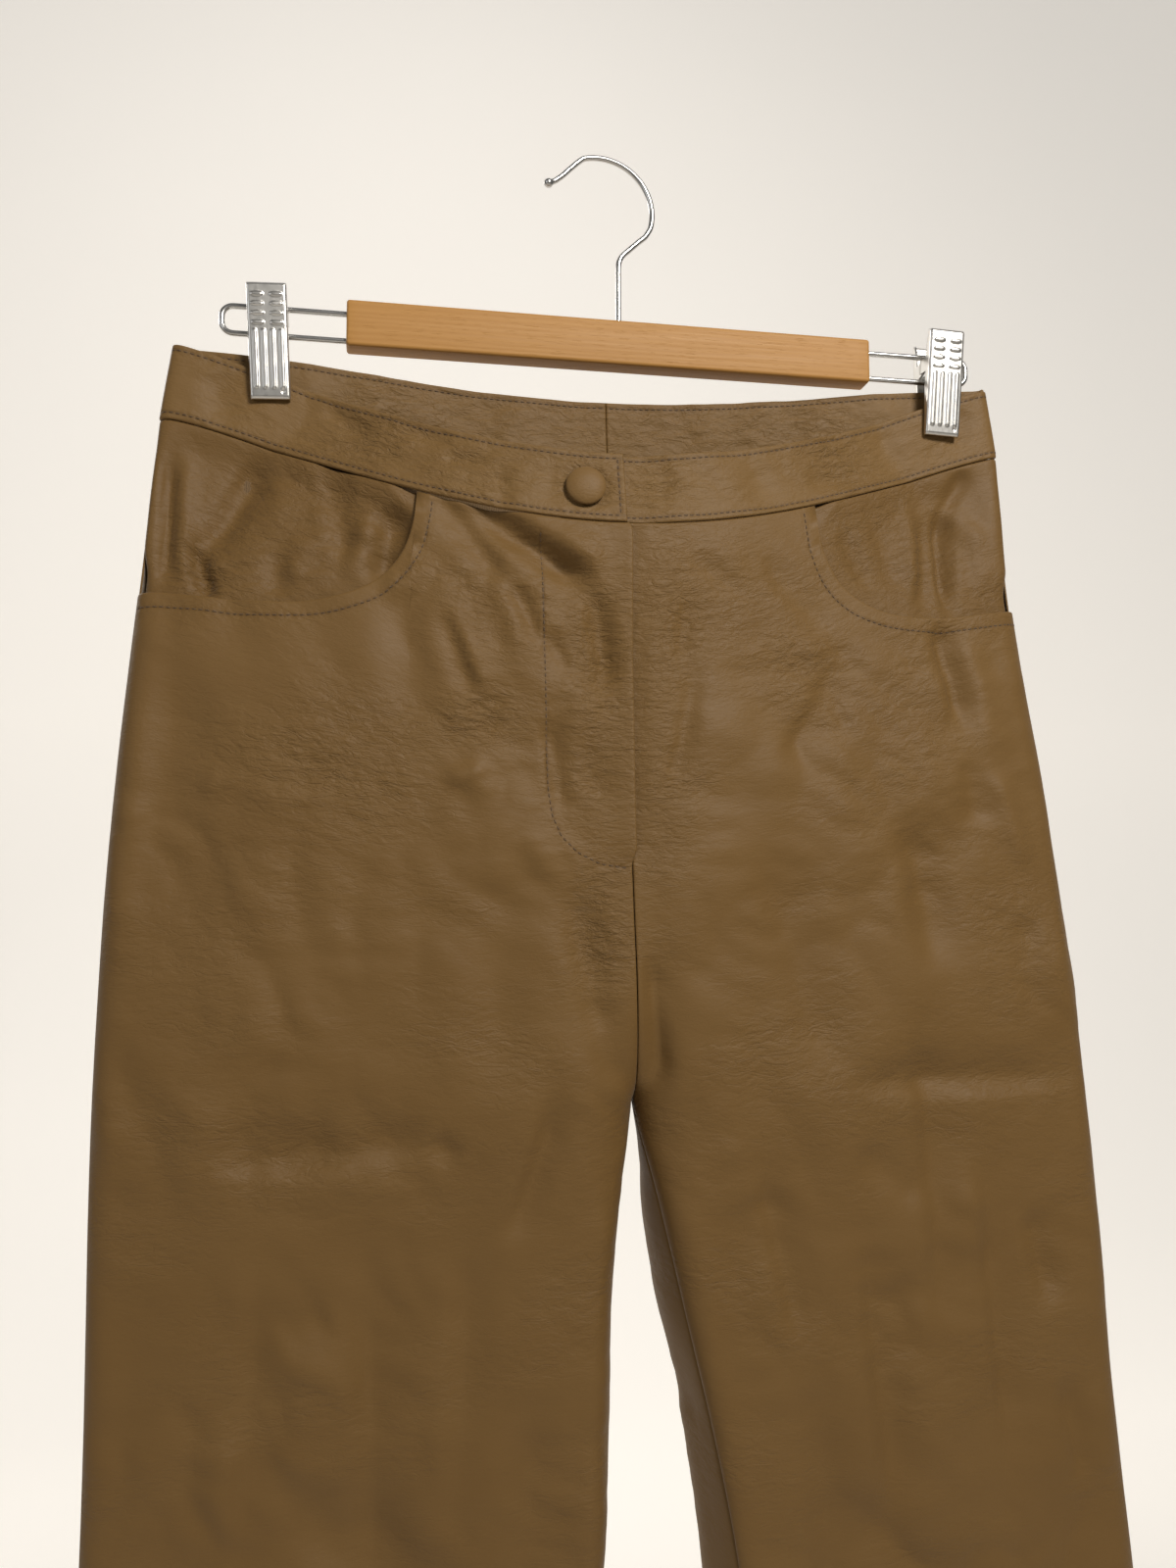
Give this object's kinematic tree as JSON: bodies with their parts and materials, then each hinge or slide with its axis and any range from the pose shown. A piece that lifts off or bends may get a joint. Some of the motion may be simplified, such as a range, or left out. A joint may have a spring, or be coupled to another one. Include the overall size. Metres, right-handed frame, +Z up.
{
  "type": "faux leather trousers on a clip hanger",
  "caption": "Full-length faux leather trousers with a curved waistband, covered button, fly and scooped pockets, hanging by two spring clips from a wooden bar hanger.",
  "frame": {"origin": "the point on the underside of the hook's crown that bears on the nail or rail it hangs from", "axes": "+Z up along the hanging garment, -Y towards the front of the trousers, +X towards the wearer's left side"},
  "size_m": [0.488, 0.0598, 1.1378],
  "materials": {
    "faux_leather": "tan polyurethane-coated cloth, soft grain, low sheen",
    "faux_leather_facing": "the same coated cloth, a little darker in the pocket mouth",
    "wood": "clear varnish, satin",
    "chromed_steel": "bright chrome plate"
  },
  "bodies": {
    "root": {"front_right": "faux_leather", "front_left": "faux_leather", "back_right": "faux_leather", "back_left": "faux_leather", "pocket_facing_right": "faux_leather_facing", "pocket_facing_left": "faux_leather_facing", "band_front_right": "faux_leather", "band_front_left": "faux_leather", "band_back_right": "faux_leather", "band_back_left": "faux_leather", "button": "faux_leather", "hanger_hook": "chromed_steel", "hanger_bar": "wood", "hanger_loop_right": "chromed_steel", "hanger_loop_left": "chromed_steel", "clip_right_front": "chromed_steel", "clip_right_back": "chromed_steel", "clip_right_pin": "chromed_steel", "clip_right_spring": "chromed_steel", "clip_left_front": "chromed_steel", "clip_left_back": "chromed_steel", "clip_left_pin": "chromed_steel", "clip_left_spring": "chromed_steel"}
  },
  "joints": []
}
